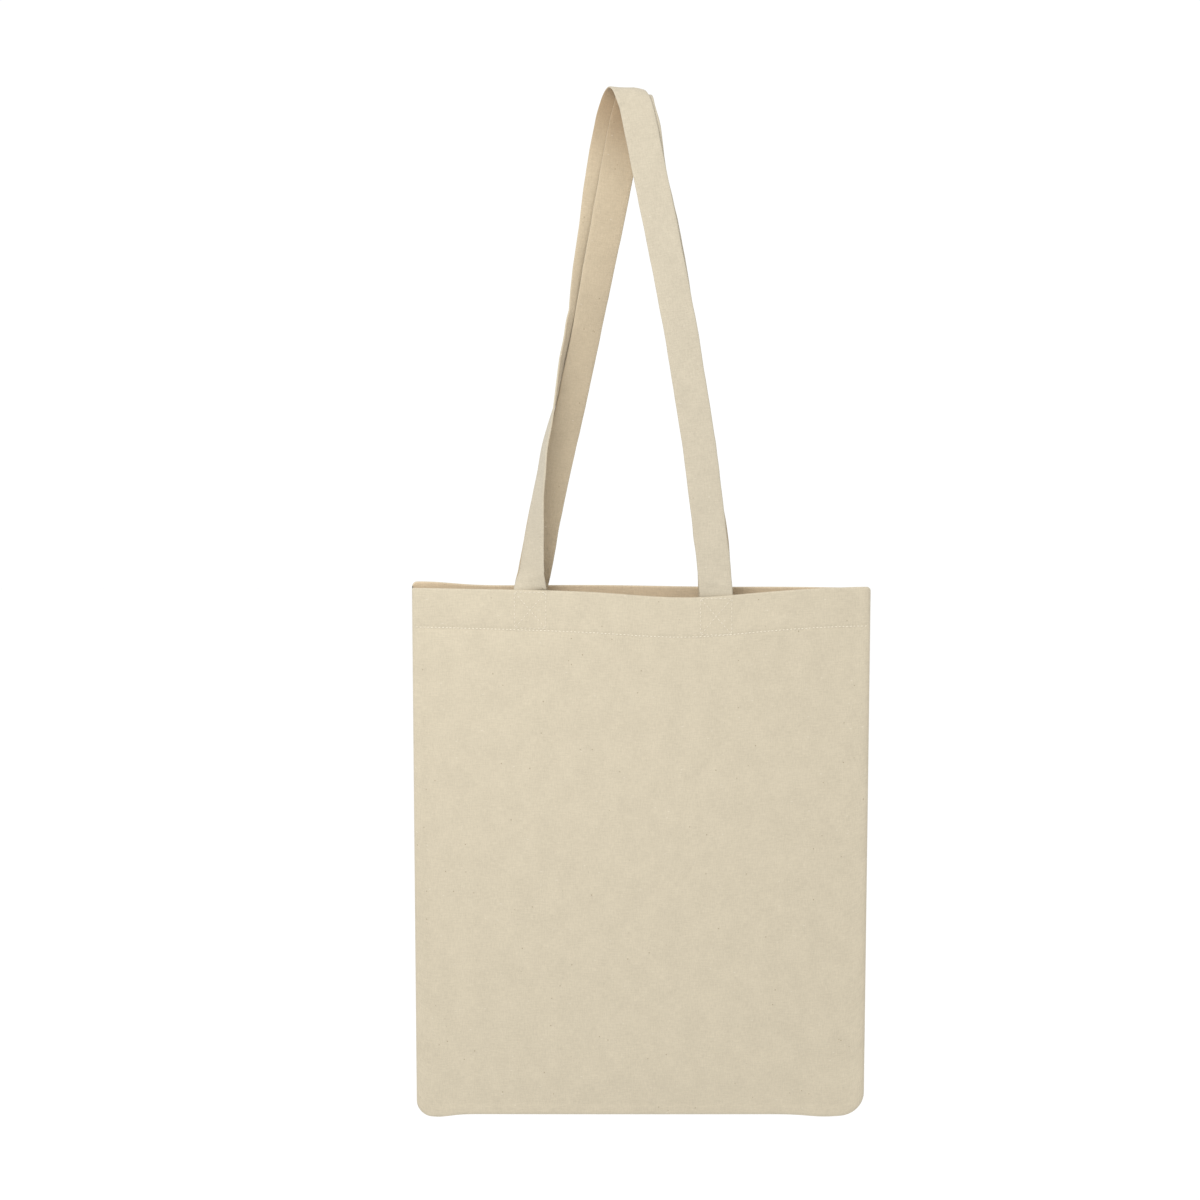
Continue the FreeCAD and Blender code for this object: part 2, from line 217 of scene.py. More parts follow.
def grid_faces(rows, columns, first=0, closed=False):
    """Quads over a grid of points, row by row. Closed joins the last column to the first."""
    row = np.arange(rows - 1)[:, None] * columns
    count = columns if closed else columns - 1
    column = np.arange(count)[None, :]
    following = (column + 1) % columns
    quads = np.stack(np.broadcast_arrays(
        row + column, row + following, row + columns + following, row + columns + column), -1)
    return quads.reshape(-1, 4) + first


def end_caps(rows, columns, first=0):
    """The faces that close both ends of a tube of rings."""
    ring = np.arange(columns) + first
    return [ring[::-1].tolist(), (ring + (rows - 1) * columns).tolist()]


def mesh_piece(name, points, faces, material, normals=None, cloth=None, caps=(), flat_caps=False):
    """
    A smooth-shaded mesh of quads, with caps as further faces. Cloth gives each point's place on
    the flat cloth, for the weave, and then 0 where it faces out, 1 where it faces into the bag
    or a handle's loop, rising to 2 inside a handle's top fold, which set its painted shade.
    """
    mesh = bpy.data.meshes.new(name)
    quads = np.asarray(faces).tolist()
    mesh.from_pydata(np.reshape(points, (-1, 3)).tolist(), [], quads + list(caps))
    mesh.materials.append(material)
    smooth = [True] * len(quads) + [not flat_caps] * len(caps)
    mesh.polygons.foreach_set("use_smooth", smooth)
    if cloth is not None:
        attribute = mesh.attributes.new("cloth", "FLOAT_VECTOR", "POINT")
        attribute.data.foreach_set("vector", np.asarray(cloth, np.float32).ravel())
    if normals is not None:
        mesh.normals_split_custom_set_from_vertices(np.asarray(normals).tolist())
    piece = bpy.data.objects.new(name, mesh)
    bpy.context.scene.collection.objects.link(piece)
    return piece


# --------------------------------------------------------------------------------------------
# The panels' surface
# --------------------------------------------------------------------------------------------


def ears(x):
    """How far the bottom edge hangs down near its two corners."""
    return sum(drop * bell((x - place) / spread) for place, spread, drop in EARS)


def corner_radius(x):
    return np.where(x < 0, CORNER_RADIUS[LEFT], CORNER_RADIUS[RIGHT])


def bottom_edge(x):
    """Z of the bottom edge, with its rounded corners."""
    radius = corner_radius(x)
    inward = np.maximum(radius - (HALF_WIDTH - np.abs(x)), 0)
    return BOTTOM_Z + radius - np.sqrt(np.maximum(radius**2 - inward**2, 0)) - ears(x)


def rim_edge(face, x):
    """Z of the rim. In front it sags between the straps, and the back's left corner lifts."""
    sag = RIM_SAG[face]
    for depth, place, spread in RIM_DIPS[face]:
        sag = sag + depth * bell((x - place) / spread)
    sag = sag + face * RIM_TILT * ease((x - RIM_TILT_FROM) / (RIM_TILT_TO - RIM_TILT_FROM))
    left, right = RIM_CORNERS[face]
    radius = np.where(x < 0, left, right)
    past_corner = np.clip((np.abs(x) - HALF_WIDTH + radius) / radius, 0, 1)
    return RIM_Z - sag - radius * (1 - np.sqrt(1 - past_corner**2))


def hem_row(face, x):
    """Z of the row of stitches that holds the hem."""
    depth, place, spread = ROW_DIP
    return rim_edge(face, x) - HEM_DEPTH - depth * bell((x - place) / spread)


def edge_distance(x, z):
    """Distance in from the sewn outline: the two sides, the bottom and its corners."""
    radius = corner_radius(x)
    side = HALF_WIDTH - np.abs(x)
    above = z - (BOTTOM_Z - ears(x))
    round_part = radius - np.hypot(radius - side, radius - above)
    in_corner = (side < radius) & (above < radius)
    return np.maximum(np.where(in_corner, round_part, np.minimum(side, above)), 0)


def crease(x, z, start, end, width, rise):
    """A soft raised fold from start to end, fading at both."""
    start, end = np.array(start), np.array(end)
    way = end - start
    length = np.hypot(*way)
    along = ((x - start[0]) * way[0] + (z - start[1]) * way[1]) / length**2
    off = ((x - start[0]) * way[1] - (z - start[1]) * way[0]) / length
    return rise * bell(off / width) * ease(along / CREASE_FADE) * ease((1 - along) / CREASE_FADE)


def soft_waves(face, x, z, inside):
    """The panel's long waves and shorter ripples, both slanting a little. Lengths in metres."""
    seed = 3.0 * face
    long_waves = waves(x / 0.12 + z / 0.3, z / 0.2 - x / 0.35, seed)
    ripples = waves(x / 0.045 + z / 0.11, z / 0.07, seed + 7)
    return ease(inside / WAVE_FADE) * (WAVES * long_waves + RIPPLES * ripples)


def hem_relief(face, x, z, inside):
    """The puckers round the hem's stitching, its doubled cloth and the stitches' groove."""
    seed = 3.0 * face
    above_row = z - hem_row(face, x)
    pucker = waves(x / (7 * MM), z / (30 * MM), seed + 13)
    pucker = pucker + 0.6 * waves(x / (15 * MM), z / (40 * MM), seed + 17)
    reach = np.where(above_row > 0, PUCKER_ABOVE, PUCKER_BELOW)
    relief = PUCKER * pucker * np.exp(-np.abs(above_row) / reach) * ease(inside / (6 * MM))
    relief = relief + HEM_STEP * ease(above_row / (3 * MM) + 0.5)
    depth, width = PINCH
    pinch = depth * bell(above_row / width)
    depth, width = LEFT_PINCH
    at_left = ease((LEFT_PINCH_FROM - x) / LEFT_PINCH_FADE)
    pinch = pinch + depth * at_left * bell(above_row / width)
    return relief - pinch * ease(inside / (4 * MM))


def panel_depth(face, x, z):
    """
    Distance of the outer cloth's middle from the bag's middle plane, before it rolls in at the
    seams.
    """
    heights, bulges = zip(*BULGE[face])
    bulge = smooth_curve(heights, bulges, (z - BOTTOM_Z) / MM) * MM
    inside = edge_distance(x, z)
    depth = SEAM_DEPTH + bulge * (1 - (x / HALF_WIDTH) ** 2)
    depth = depth + MARGIN_RIDGE * ease((MARGIN_WIDTH + 2 * MM - inside) / (3 * MM))
    depth = depth + soft_waves(face, x, z, inside) + hem_relief(face, x, z, inside)
    if face == FRONT:
        for start, end, width, rise in FRONT_CREASES:
            depth = depth + crease(x, z, start, end, width, rise)
    return depth


def roll_in(depth, inside):
    """The depth with the cloth rolled in to the seam line over the last few millimetres."""
    t = np.clip(1 - inside / NOSE, 0, 1)
    return NOSE_DEPTH + (depth - NOSE_DEPTH) * np.sqrt(1 - t**2)


def outer_point(face, x, z):
    depth = roll_in(panel_depth(face, x, z), edge_distance(x, z))
    return np.stack([CENTRE_X + x, face * depth, z], -1)


def inner_point(face, x, z, behind):
    """A layer behind the outer cloth, such as the turned-in hem, which ends in the side seam."""
    inside = np.maximum(edge_distance(x, z) - HEM_INSET, 0)
    depth = roll_in(np.maximum(panel_depth(face, x, z) - behind, NOSE_DEPTH), inside)
    return np.stack([CENTRE_X + x, face * depth, z], -1)


# --------------------------------------------------------------------------------------------
# Materials
# --------------------------------------------------------------------------------------------

YARN = 0.62 * MM                     # from one yarn to the next in the weave
SEED_FLECK = (0.2, 0.15, 0.09, 1)
PALE_SLUB = (0.8, 0.75, 0.65, 1)
FOLD_PAINTED_SHADE = (0.70, 0.62, 0.55)   # painted shade inside a handle's top fold, darker than the rest of the inside
PLY_SHADE = 0.86                     # painted shade in the grooves between a thread's plies


class Nodes:
    """A short way to write a node tree."""

    def __init__(self, name):
        self.material = bpy.data.materials.new(name)
        self.material.use_nodes = True
        self.tree = self.material.node_tree
        self.shader = next(n for n in self.tree.nodes if n.type == "BSDF_PRINCIPLED")

    def add(self, kind, **settings):
        node = self.tree.nodes.new(kind)
        for key, value in settings.items():
            setattr(node, key, value)
        return node

    def feed(self, socket, value):
        if isinstance(value, bpy.types.NodeSocket):
            self.tree.links.new(value, socket)
        else:
            socket.default_value = value

    def surface(self, **values):
        """Feeds the shader's sockets, an underscore in a name standing for a space."""
        for name, value in values.items():
            self.feed(self.shader.inputs[name.replace("_", " ")], value)

    def math(self, operation, *values):
        node = self.add("ShaderNodeMath", operation=operation)
        for socket, value in zip(node.inputs, values):
            self.feed(socket, value)
        return node.outputs[0]

    def ramp(self, value, low, high, to_low=0.0, to_high=1.0):
        """From to_low where the value is low, smoothly to to_high where it is high."""
        node = self.add("ShaderNodeMapRange", interpolation_type="SMOOTHSTEP")
        for socket, given in zip(node.inputs, (value, low, high, to_low, to_high)):
            self.feed(socket, given)
        return node.outputs[0]

    def mix(self, share, a, b, blend="MIX"):
        node = self.add("ShaderNodeMix", data_type="RGBA", blend_type=blend)
        colours = [s for s in node.inputs if s.type == "RGBA"]
        self.feed(node.inputs[0], share)
        self.feed(colours[0], a)
        self.feed(colours[1], b)
        return next(s for s in node.outputs if s.type == "RGBA")

    def split(self, vector):
        node = self.add("ShaderNodeSeparateXYZ")
        self.feed(node.inputs[0], vector)
        return node.outputs

    def scaled(self, coordinates, scale):
        node = self.add("ShaderNodeVectorMath", operation="MULTIPLY")
        self.feed(node.inputs[0], coordinates)
        node.inputs[1].default_value = scale
        return node.outputs[0]

    def noise(self, coordinates, scale, detail=2.0):
        """Noise whose grains are about (1 / scale) metres each way."""
        node = self.add("ShaderNodeTexNoise")
        self.feed(node.inputs["Vector"], self.scaled(coordinates, scale))
        node.inputs["Scale"].default_value = 1.0
        node.inputs["Detail"].default_value = detail
        node.inputs["Roughness"].default_value = 0.5
        return node.outputs["Fac"]

    def specks(self, coordinates, scale, size):
        """1 in scattered small grains and 0 elsewhere, and a number of each grain's own."""
        node = self.add("ShaderNodeTexVoronoi")
        self.feed(node.inputs["Vector"], self.scaled(coordinates, scale))
        node.inputs["Scale"].default_value = 1.0
        grain = self.ramp(node.outputs["Distance"], size, size * 0.4)
        parts = self.add("ShaderNodeSeparateColor")
        self.feed(parts.inputs[0], node.outputs["Color"])
        return grain, parts.outputs[0]

    def bump(self, height, strength, distance):
        node = self.add("ShaderNodeBump")
        node.inputs["Strength"].default_value = strength
        node.inputs["Distance"].default_value = distance
        self.feed(node.inputs["Height"], height)
        return node.outputs[0]


def weave_height(nodes, coordinates):
    """Plain weave: yarns both ways, over and under by turns. 0 in the holes to 1 on the yarns."""
    across, along = nodes.split(coordinates)[:2]
    warp_wave = nodes.math("SINE", nodes.math("MULTIPLY", across, math.pi / YARN))
    weft_wave = nodes.math("SINE", nodes.math("MULTIPLY", along, math.pi / YARN))
    warp_on_top = nodes.ramp(nodes.math("MULTIPLY", warp_wave, weft_wave), -0.6, 0.6)
    weft_on_top = nodes.math("SUBTRACT", 1.0, warp_on_top)
    warp = nodes.math("MULTIPLY", nodes.math("ABSOLUTE", warp_wave), warp_on_top)
    weft = nodes.math("MULTIPLY", nodes.math("ABSOLUTE", weft_wave), weft_on_top)
    return nodes.math("ADD", warp, weft)


def canvas(name, colour, inner):
    """
    Unbleached plain-weave cotton: uneven yarns, soft mottling, seed flecks and pale slubs.
    Inner is a warm painted shade, its colour where it faces into the bag or the handle's loop.
    """
    nodes = Nodes(name)
    place = nodes.add("ShaderNodeAttribute", attribute_name="cloth").outputs["Vector"]
    inward = nodes.split(place)[2]
    flat = nodes.scaled(place, (1, 1, 0))
    weave = weave_height(nodes, flat)
    mottle = nodes.noise(flat, (60, 45, 1), 4)
    grain = nodes.noise(flat, (700, 640, 1), 3)
    warp_streaks = nodes.noise(flat, (1300, 170, 1), 3)
    weft_streaks = nodes.noise(flat, (150, 1200, 1), 3)
    fuzz = nodes.noise(flat, (2600, 2600, 1), 2)

    shaded_fold_colour = tuple(c * shade for c, shade in zip(inner, FOLD_PAINTED_SHADE)) + (1,)
    # Painted shade: a warm inner colour where the cloth faces into the bag or a handle's loop.
    tint = nodes.mix(inward, colour + (1,), inner + (1,))
    # Painted shade inside a handle's top fold, darker still.
    tint = nodes.mix(nodes.ramp(inward, 1.0, 2.0), tint, shaded_fold_colour)
    brightness = nodes.ramp(mottle, 0.3, 0.7, 0.975, 1.02)
    # The weave's part darkens the holes between the yarns: painted shade.
    for part in (nodes.ramp(grain, 0.3, 0.7, -0.02, 0.02),
                 nodes.ramp(warp_streaks, 0.3, 0.72, -0.036, 0.038),
                 nodes.ramp(weft_streaks, 0.3, 0.72, -0.036, 0.038),
                 nodes.ramp(weave, 0.2, 0.8, -0.14, 0.02)):
        brightness = nodes.math("ADD", brightness, part)
    tint = nodes.mix(1.0, tint, brightness, "MULTIPLY")

    seed, pick = nodes.specks(flat, (130, 110, 1), 0.085)
    dark = nodes.math("MULTIPLY", seed, nodes.ramp(pick, 0.56, 0.6))
    tint = nodes.mix(nodes.math("MULTIPLY", dark, 0.62), tint, SEED_FLECK)
    slub, pick = nodes.specks(flat, (90, 210, 1), 0.11)
    pale = nodes.math("MULTIPLY", slub, nodes.ramp(pick, 0.6, 0.7))
    tint = nodes.mix(nodes.math("MULTIPLY", pale, 0.25), tint, PALE_SLUB)

    height = nodes.math("MULTIPLY", weave, 0.6)
    streaks = nodes.math("ADD", warp_streaks, weft_streaks)
    for part, share in ((fuzz, 0.25), (streaks, 1.1), (pale, 0.5)):
        height = nodes.math("ADD", height, nodes.math("MULTIPLY", part, share))
    nodes.surface(Base_Color=tint, Roughness=nodes.ramp(fuzz, 0.2, 0.8, 0.82, 0.96),
                  Normal=nodes.bump(height, 0.6, 0.18 * MM), Specular_IOR_Level=0.2,
                  Sheen_Weight=0.12, Sheen_Roughness=0.5)
    return nodes.material


def thread_material(name, colour):
    """Spun cotton thread: fine twisted plies."""
    nodes = Nodes(name)
    place = nodes.add("ShaderNodeTexCoord").outputs["Object"]
    plies = nodes.noise(place, (2500, 2500, 2500), 2)
    # Painted shade in the grooves between the plies.
    groove = tuple(c * PLY_SHADE for c in colour) + (1,)
    tint = nodes.mix(nodes.ramp(plies, 0.3, 0.7), groove, colour + (1,))
    nodes.surface(Base_Color=tint, Roughness=nodes.ramp(plies, 0.3, 0.7, 0.6, 0.8),
                  Normal=nodes.bump(plies, 0.5, 0.06 * MM), Sheen_Weight=0.2)
    return nodes.material


# Each canvas's second colour is a warm painted shade for the faces turned inward.
BAG_CANVAS = canvas("bag_canvas", (0.53, 0.469, 0.355), (0.575, 0.463, 0.32))
STRAP_CANVAS = canvas("strap_canvas", (0.485, 0.432, 0.333), (0.485, 0.402, 0.282))
HEM_THREAD = thread_material("hem_thread", (0.75, 0.69, 0.56))
BOX_THREAD = thread_material("box_thread", (0.66, 0.60, 0.48))
OVERLOCK = thread_material("overlock_thread", (0.70, 0.64, 0.52))


# --------------------------------------------------------------------------------------------
# Panels: one sheet each, up the outside, over the rim, down inside the hem and turned under
# --------------------------------------------------------------------------------------------

COLUMN_STEP = 3.2 * MM           # between columns, away from the corners
CORNER_COLUMNS = 11
RIM_ROWS = 8                     # round the fold at the rim
TURN_ROWS = 5                    # round the fold at the hem's lower edge


def panel_columns():
    """X of the columns, closer together round the corners, with one on the middle line."""
    turns = np.linspace(0, math.pi / 2, CORNER_COLUMNS)
    left = -HALF_WIDTH + CORNER_RADIUS[LEFT] * (1 - np.cos(turns))
    right = HALF_WIDTH - CORNER_RADIUS[RIGHT] * (1 - np.cos(turns[::-1]))
    between = spaced(left[-1], (0.0, COLUMN_STEP), (right[0], COLUMN_STEP))
    return np.concatenate([left, between[1:-1], right])


def panel_rows():
    """Heights of the rows on the outer face as shares of the way up to the rim's fold."""
    hem = BAG_HEIGHT - HEM_DEPTH
    heights = spaced(0.0, (1.2 * MM, 0.3 * MM), (4 * MM, 0.7 * MM), (14 * MM, 1.4 * MM),
                     (hem - 24 * MM, 3.6 * MM), (hem - 4 * MM, 2 * MM), (hem + 4 * MM, 0.8 * MM),
                     (BAG_HEIGHT - RIM_FOLD, 1.8 * MM))
    return heights / heights[-1]


def fold_rows(start, end, rise, count):
    """Rows round a fold, from one row to another side by side with it."""
    rows = []
    for turn in np.linspace(0, math.pi, count + 1)[1:]:
        middle = (start + end) / 2 + (start - end) / 2 * math.cos(turn)
        rows.append(middle + np.array([0, 0, rise * math.sin(turn)]))
    return rows


def panel_grid(face):
    """Middle of the cloth, row by row, from the bottom seam over the rim to the raw edge."""
    x = panel_columns()
    low = bottom_edge(x)
    top = rim_edge(face, x) - RIM_FOLD
    rows = [outer_point(face, x, low + share * (top - low)) for share in panel_rows()]

    inset = x * (1 - HEM_INSET / HALF_WIDTH)
    hem = 2 * RIM_FOLD                   # how far the hem lies behind the outer cloth
    turned = hem - 2 * TURN_FOLD         # and the edge turned under
    hem_length = HEM_DEPTH - RIM_FOLD + HEM_OVERLAP
    rows += fold_rows(rows[-1], inner_point(face, inset, top, hem), RIM_FOLD, RIM_ROWS)
    for down in spaced(0.0, (hem_length - 4 * MM, 3 * MM), (hem_length, 1 * MM))[1:]:
        rows.append(inner_point(face, inset, top - down, hem))
    under = inner_point(face, inset, top - hem_length, turned)
    rows += fold_rows(rows[-1], under, -TURN_FOLD, TURN_ROWS)
    for up in spaced(0.0, (TURN_UNDER, 2 * MM))[1:]:
        rows.append(inner_point(face, inset, top - hem_length + up, turned))
    return x, np.array(rows)


def shell(name, grid, normals, cloth, face):
    """Gives a grid of cloth its thickness and closes its edges."""
    rows, columns = grid.shape[:2]
    count = rows * columns
    points = np.stack([grid + normals * CLOTH / 2, grid - normals * CLOTH / 2])
    outer = grid_faces(rows, columns)
    inner = outer[:, ::-1] + count
    bottom = np.arange(columns)
    right = np.arange(rows) * columns + columns - 1
    top = np.arange(columns)[::-1] + (rows - 1) * columns
    left = np.arange(rows)[::-1] * columns
    border = np.concatenate([bottom[:-1], right[:-1], top[:-1], left])
    edge = np.stack([border[:-1], border[:-1] + count, border[1:] + count, border[1:]], -1)
    faces = np.concatenate([outer, inner, edge])
    if face == BACK:
        faces = faces[:, ::-1]
    both_normals = np.stack([normals, -normals]).reshape(-1, 3)
    # The inner face is marked 1, for the painted shade.
    both_cloths = np.stack([cloth, cloth * (1, 1, 0) + (0, 0, 1)])
    return mesh_piece(name, points, faces, BAG_CANVAS, both_normals, both_cloths)


def make_panel(face, parts):
    """
    Parts are (name, first x, last x), each made as a piece of its own; the front panel is
    made as two halves.
    """
    x, grid = panel_grid(face)
    normals = unit(np.cross(np.gradient(grid, axis=1), np.gradient(grid, axis=0))) * -face
    length = distances(grid[:, len(x) // 2])
    other_yarns = 0.7 * (face + 1)       # so that the two panels differ
    past_rim = np.arange(len(length)) - len(panel_rows()) - 2
    # The painted shade inside the bag turns on over the rim's fold.
    inward = ease(past_rim / 5.0)        # turns from 0 to 1 over the rim's fold
    cloth = np.stack(np.broadcast_arrays(
        x[None, :], length[:, None] + other_yarns, inward[:, None]), -1)
    made = []
    for name, first, last in parts:
        chosen = (x >= first - 1e-9) & (x <= last + 1e-9)
        made.append(shell(name, grid[:, chosen], normals[:, chosen], cloth[:, chosen], face))
    return made


# --------------------------------------------------------------------------------------------
# Sewing: each stitch is a short thread that dips into the cloth at both ends
# --------------------------------------------------------------------------------------------

STITCH_RINGS = 5
STITCH_SIDES = 6
STITCH_ARCH = 1.1                # how far its middle rises over its ends, in thread radii
STITCH_SINK = 0.75               # how far its ends lie under the cloth's face
STITCH_TAPER = 0.55              # how thin it is at its ends

RUN_LENGTH = 12 * MM             # the hem's row is sewn in straight runs up to this long
NUDGE = 0.5 * MM                 # a step along the panel, to find its slope

OUTSIDE, INSIDE = 1, -1
OUTSIDE_LAYER = -CLOTH / 2
HEM_INSIDE_LAYER = 2 * RIM_FOLD + CLOTH / 2
STRAP_INSIDE_LAYER = STRAP_DEPTH + STRAP_THICKNESS / 2


def stitch_points(start, end, out):
    """One stitch between two points of the cloth's face, out being the face's normal."""
    share = np.linspace(0, 1, STITCH_RINGS)[:, None]
    arch = np.sin(math.pi * share)
    lift = THREAD_RADIUS * (STITCH_ARCH * arch - STITCH_SINK)
    centre = start + (end - start) * share + out * lift
    ring = circle(np.cross(unit(end - start), out), out, STITCH_SIDES)
    radius = THREAD_RADIUS * (STITCH_TAPER + (1 - STITCH_TAPER) * arch)
    return centre[:, None, :] + ring * radius[:, :, None]


def stitch_mesh(name, stitches, material):
    """Stitches is a list of (start, end, out)."""
    points = []
    faces = []
    caps = []
    for start, end, out in stitches:
        first = len(points) * STITCH_RINGS * STITCH_SIDES
        points.append(stitch_points(start, end, out))
        faces.append(grid_faces(STITCH_RINGS, STITCH_SIDES, first, closed=True))
        caps += end_caps(STITCH_RINGS, STITCH_SIDES, first)
    return mesh_piece(name, np.array(points), np.concatenate(faces), material, caps=caps)


def panel_normal(face, x, z):
    """The panel's outward normal at one place."""
    beside, above, here = panel_depth(
        face, np.array([x + NUDGE, x, x]), np.array([z, z + NUDGE, z]))
    slope_x = (beside - here) / NUDGE
    slope_z = (above - here) / NUDGE
    return unit(np.array([-slope_x * face, 1.0, -slope_z * face])) * face


def line_stitches(face, start, end, layer, outward):
    """
    Stitches along a straight line on a panel, from (x, z) to (x, z). Layer is the sewn face's
    distance behind the outer cloth's middle. Outward is OUTSIDE or INSIDE.
    """
    start, end = np.array(start), np.array(end)
    way = end - start
    count = max(1, round(np.hypot(*way) / STITCH_PITCH))
    half = STITCH_LENGTH / STITCH_PITCH / 2 / count
    stitches = []
    for middle in (np.arange(count) + 0.5) / count:
        x, z = np.array([start + way * (middle - half), start + way * (middle + half)]).T
        depth = roll_in(panel_depth(face, x, z), edge_distance(x, z)) - layer
        first, last = np.stack([CENTRE_X + x, face * depth, z], -1)
        normal = panel_normal(face, *(start + way * middle)) * outward
        stitches.append((first, last, normal))
    return stitches


def row_stitches(face, first, last, layer, outward):
    """The row that holds the hem, which follows the rim."""
    stops = spaced(first, (last, RUN_LENGTH))
    corners = list(zip(stops, hem_row(face, stops)))
    stitches = []
    for start, end in zip(corners[:-1], corners[1:]):
        stitches += line_stitches(face, start, end, layer, outward)
    return stitches


def box_stitches(face, strap_x, layer, outward):
    """A rectangle over a strap's end, with both diagonals."""
    top = float(rim_edge(face, np.array(strap_x))) - BOX_BELOW_RIM
    low = top - BOX_HEIGHT
    left = strap_x - BOX_WIDTH / 2
    right = strap_x + BOX_WIDTH / 2
    corners = [(left, top), (right, top), (right, low), (left, low)]
    lines = list(zip(corners, corners[1:] + corners[:1]))
    lines += [(corners[0], corners[2]), (corners[1], corners[3])]
    return [s for start, end in lines for s in line_stitches(face, start, end, layer, outward)]


# --------------------------------------------------------------------------------------------
# Handles: one long strap each, both ends sewn inside the hem
# --------------------------------------------------------------------------------------------

# The legs' middle lines in millimetres: x, y, z, and how far the strap is turned
# about its own length, in degrees. At 0 its left edge on the panel is still on the left.
FRONT_LEFT_LEG = (
    (-75.6, -14.8, -377, 22), (-74.6, -14.6, -368, 40), (-73.2, -14.1, -348, 52),
    (-71.6, -13.2, -329, 61), (-69.8, -11.9, -309, 70), (-67.2, -10.0, -290, 76),
    (-65.0, -7.8, -273, 80), (-60.5, -4.8, -254, 84), (-56.4, -1.6, -236, 91),
    (-53.2, 1.0, -219, 96), (-50.1, 3.4, -204, 102), (-45.3, 6.4, -188, 112),
    (-40.9, 8.3, -175, 125), (-36.4, 9.6, -164, 137), (-33.0, 10.3, -146, 148),
    (-30.0, 10.7, -129, 157), (-25.0, 11.1, -100, 166), (-19.8, 11.4, -60, 174),
    (-13.0, 11.5, -24, 179),
)
FRONT_RIGHT_LEG = (
    (9.0, -11.7, -24, 180), (15.0, -12.2, -53, 180), (24.1, -12.9, -96.7, 180),
    (36.2, -13.8, -157.5, 180), (47.2, -14.7, -219, 180), (56.8, -15.5, -280.5, 180),
    (64.3, -16.3, -340, 180), (67.6, -16.7, -370, 180),
)
BACK_LEFT_LEG = (
    (-73.2, 10.2, -370, 180), (-68.4, 10.4, -344, 178), (-62.3, 10.6, -313, 171),
    (-55.0, 10.5, -282, 160), (-46.9, 10.3, -250, 152), (-40.2, 10.1, -219, 151),
    (-33.4, 9.7, -188, 151), (-28.6, 9.4, -164, 153), (-21.2, 9.3, -126, 161),
    (-16.2, 9.4, -100, 168), (-8.5, 9.5, -60, 175), (-1.6, 9.5, -24, 179),
)
BACK_RIGHT_LEG = (
    (11.6, -9.3, -24, 180), (16.8, -8.6, -60, 180), (27.0, -6.0, -105, 182),
    (37.4, -2.0, -160, 200), (45.4, 2.6, -205, 240), (52.8, 6.0, -250, 285),
    (60.4, 8.8, -300, 330), (68.4, 11.4, -362, 360),
)

PEG_Z = -7.7 * MM                # middle of the folds' half turns
FRONT_FOLD_RADIUS = 11.5 * MM
BACK_FOLD_RADIUS = 9.5 * MM
FRONT_FOLD_X = (-8.4 * MM, 5.8 * MM)       # behind the peg, in front of it
BACK_FOLD_X = (2.4 * MM, 7.8 * MM)
FOLD_STATIONS = 11
FOLD_DROOP = 4 * MM              # how far the folds' right ends hang lower
DROOP_FROM = 3 * MM              # x at which the droop sets in
DROOP_WIDTH = 16 * MM            # over which it grows to the full
DROOP_HEIGHT = 30 * MM           # and this far down it is nothing
FOLD_SHADE = 55 * MM             # how far along the strap the painted shade inside the fold reaches

FINE_STEP = 0.8 * MM             # between sections, where a strap bends at the rim
COARSE_STEP = 2.2 * MM           # and elsewhere
FINE_FROM = HEM_DEPTH - 5 * MM   # both from a strap's end
FINE_TO = HEM_DEPTH + 11 * MM
FREE_FROM = 34 * MM              # from its end, where it starts to cup and sway
FREE_FADE = 40 * MM

FLAT_POINTS = 11                 # across a strap's face
EDGE_POINTS = 5                  # round its edge
CUP = 0.5 * MM                   # how far its edges curl to one side or the other
CUP_LENGTH = 50 * MM             # and over what length that changes
SWAY = 0.35 * MM                 # how far it strays sideways
SWAY_LENGTH = 30 * MM
UNEVEN_EDGE = 0.22 * MM
UNEVEN_LENGTH = 12 * MM
KINK_DEPTH = 0.5 * MM            # of the soft crease across a strap
KINK_ABOVE_RIM = 9 * MM
KINK_WIDTH = 1.8 * MM
KINK_SLANT = 0.3


def sewn_end(face, strap_x, turn):
    """Where a strap lies inside the hem, from its end up to the rim."""
    rim = float(rim_edge(face, np.array(strap_x)))
    stations = []
    for down in (HEM_DEPTH - STRAP_END, 20 * MM, 10 * MM, 2 * MM):
        z = rim - down
        depth = float(panel_depth(face, np.array(strap_x), np.array(z))) - STRAP_DEPTH
        stations.append((CENTRE_X + strap_x, face * depth, z, turn))
    return stations


def peg_fold(radius, x_behind, x_before):
    """Half a turn over the peg, from its back to its front."""
    stations = []
    for share in np.linspace(0, 1, FOLD_STATIONS):
        angle = math.pi * share
        x = x_behind + (x_before - x_behind) * share
        stations.append((x, radius * math.cos(angle), PEG_Z + radius * math.sin(angle), 180))
    return stations


def leg(stations):
    return [(x * MM, y * MM, z * MM, turn) for x, y, z, turn in stations]


def droop(points):
    """Lowers the right end of a strap's fold."""
    x, z = points[..., 0], points[..., 2]
    share = ease((x - DROOP_FROM) / DROOP_WIDTH) * ease((z + DROOP_HEIGHT) / DROOP_HEIGHT)
    return points - np.stack([x * 0, x * 0, FOLD_DROOP * share], -1)


def strap_ring():
    """Outline of the strap's section: (across, out) pairs, anticlockwise seen along the strap."""
    half = STRAP_WIDTH / 2
    thick = STRAP_THICKNESS / 2
    flat = np.linspace(-half + thick, half - thick, FLAT_POINTS)
    turn = np.linspace(math.pi / 2, -math.pi / 2, EDGE_POINTS)
    right = np.stack([half - thick * (1 - np.cos(turn)), thick * np.sin(turn)], -1)
    top = np.stack([flat, np.full(FLAT_POINTS, thick)], -1)
    return np.concatenate([top[:-1], right[:-1], -top[:-1], -right[:-1]])


